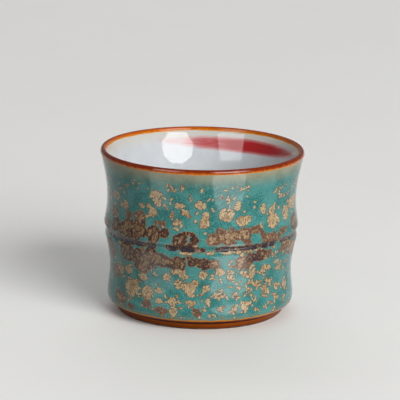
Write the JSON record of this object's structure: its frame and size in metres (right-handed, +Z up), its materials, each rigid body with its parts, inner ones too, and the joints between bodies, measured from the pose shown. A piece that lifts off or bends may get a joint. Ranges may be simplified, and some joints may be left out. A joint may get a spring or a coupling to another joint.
{
  "type": "gongfu teacup",
  "caption": "Small straight-sided gongfu teacup with a bamboo-node waist, crystalline turquoise glaze, amber lip, white bowl with a red brush stroke, and a brown foot ring.",
  "frame": {"origin": "on the table, at the middle of the foot ring", "axes": "+Z up along the axis of the cup, +X to the right and -Y towards the viewer of the picture"},
  "size_m": [0.07, 0.07, 0.0567],
  "materials": {
    "clay": "fired stoneware, bare where the foot stands",
    "turquoise_glaze": "glossy, with tan crystals",
    "iron_line": "glossy, broken dark line",
    "lip_amber": "glossy, thin and clear over brown clay",
    "hem_amber": "glossy rolled edge",
    "foot_brown": "satin brown wash",
    "white_liner": "glossy cool white",
    "red_stroke": "red brush colour under clear glaze",
    "base_clear": "thin clear glaze over clay"
  },
  "bodies": {
    "root": {"clay_body": "clay", "outer_glaze": "turquoise_glaze", "node_line": "iron_line", "lip_glaze": "lip_amber", "hem_glaze": "hem_amber", "foot_wash": "foot_brown", "inner_glaze": "white_liner", "brush_stroke": "red_stroke", "base_glaze": "base_clear"}
  },
  "joints": []
}
